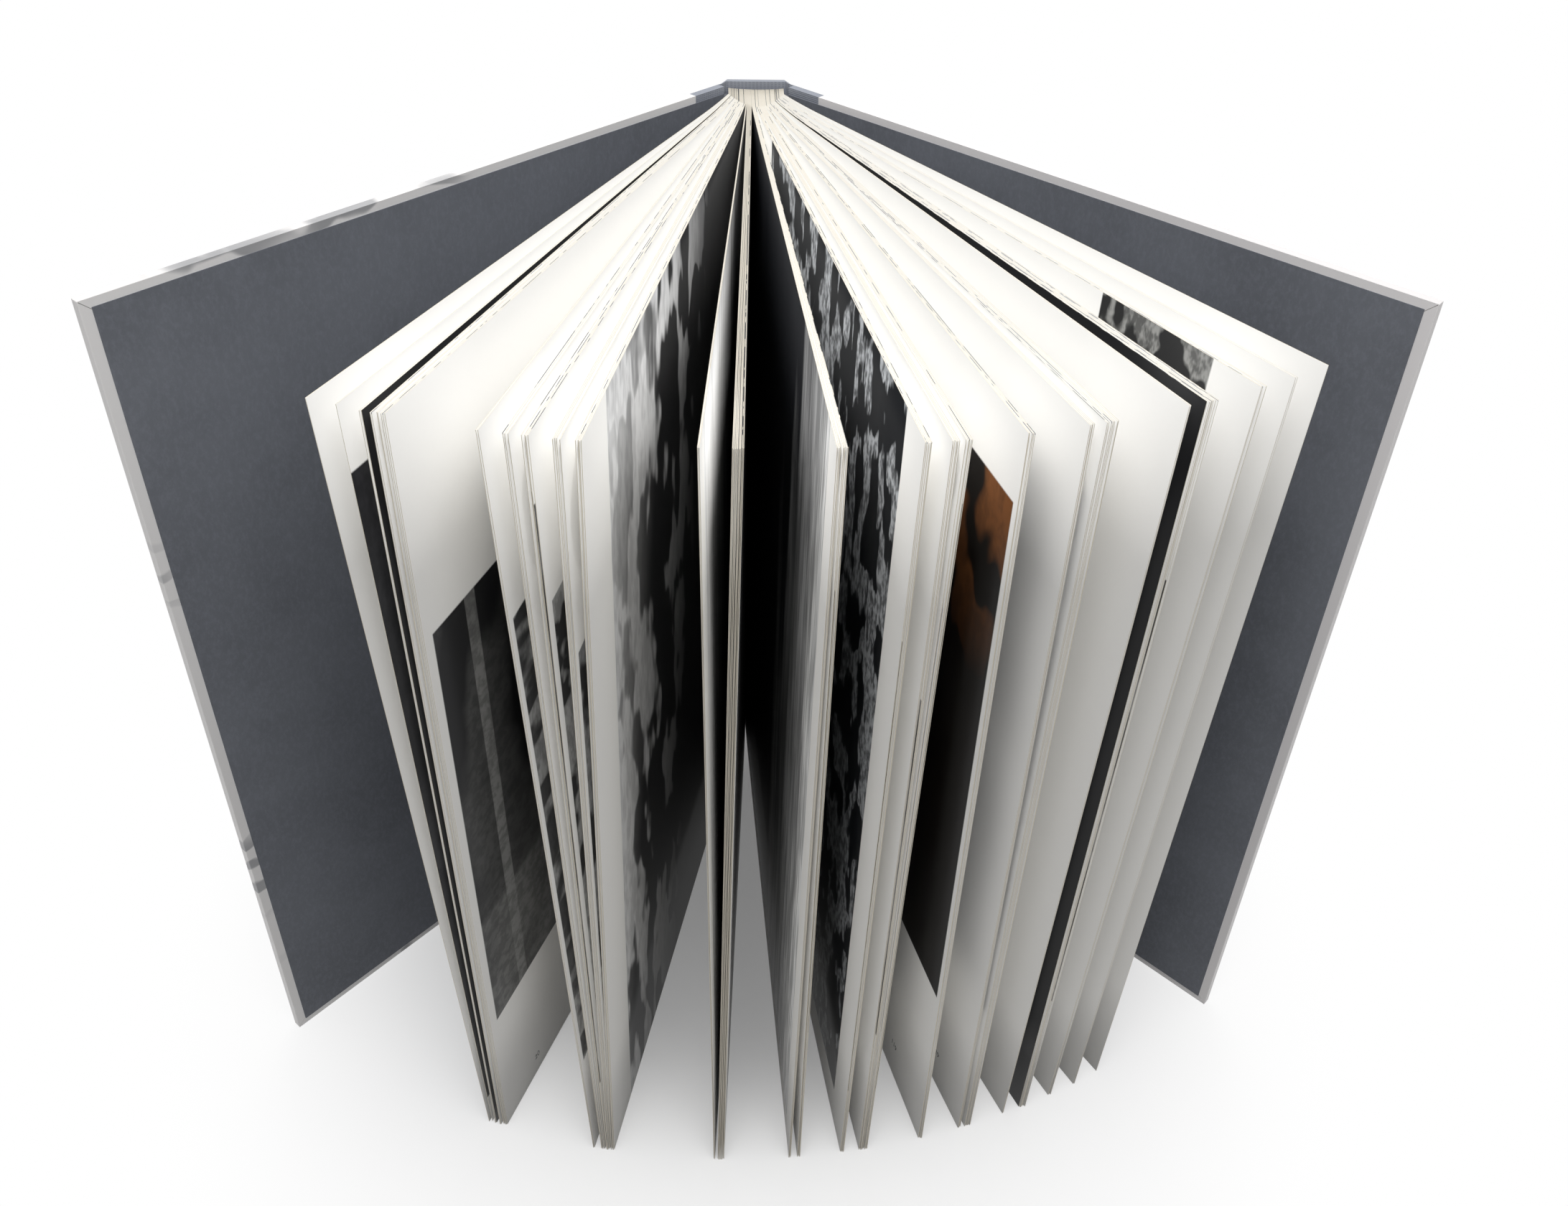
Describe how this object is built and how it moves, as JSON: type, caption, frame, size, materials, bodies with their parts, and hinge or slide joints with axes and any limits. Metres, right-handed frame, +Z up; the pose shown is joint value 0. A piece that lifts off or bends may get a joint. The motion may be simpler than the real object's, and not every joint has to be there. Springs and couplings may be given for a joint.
{
  "type": "photo book",
  "caption": "Hardcover portrait photo book standing open on its tail, its leaves fanned, with a cloth spine, paper-covered boards and slate endpapers.",
  "frame": {"origin": "on the surface it stands on, under the spine strip and midway through the spine's thickness", "axes": "+Z up along the spine from tail to head, -Y from the spine towards the fore-edges, front cover towards -X and back cover towards +X"},
  "size_m": [0.3499, 0.2365, 0.3],
  "materials": {
    "pages": "coated white leaves with printed pictures",
    "front_flyleaf": "white paper, printed slate on its outer face",
    "back_flyleaf": "white paper, printed slate on its outer face",
    "spine_lining": "glued lining paper",
    "spine_board": "grey bookboard",
    "spine_cloth": "grey-blue book cloth",
    "front_board": "grey bookboard",
    "front_cover_paper": "matt printed cover paper",
    "front_cloth": "grey-blue book cloth",
    "front_pastedown": "uncoated dark slate endpaper",
    "back_board": "grey bookboard",
    "back_cover_paper": "matt printed cover paper",
    "back_cloth": "grey-blue book cloth",
    "back_pastedown": "uncoated dark slate endpaper"
  },
  "bodies": {
    "text_block": {"pages": "pages", "front_flyleaf": "front_flyleaf", "back_flyleaf": "back_flyleaf", "spine_lining": "spine_lining", "spine_board": "spine_board", "spine_cloth": "spine_cloth"},
    "front_cover": {"front_board": "front_board", "front_cover_paper": "front_cover_paper", "front_cloth": "front_cloth", "front_pastedown": "front_pastedown"},
    "back_cover": {"back_board": "back_board", "back_cover_paper": "back_cover_paper", "back_cloth": "back_cloth", "back_pastedown": "back_pastedown"}
  },
  "joints": [
    {"name": "front_cover_hinge", "type": "hinge", "parent": "text_block", "child": "front_cover", "pos_m": [-0.01235, -0.00326, 0], "axis": [0, 0, -1], "range_deg": [-17.5, 136]},
    {"name": "back_cover_hinge", "type": "hinge", "parent": "text_block", "child": "back_cover", "pos_m": [0.01235, -0.00326, 0], "axis": [0, 0, 1], "range_deg": [-10, 135]}
  ]
}
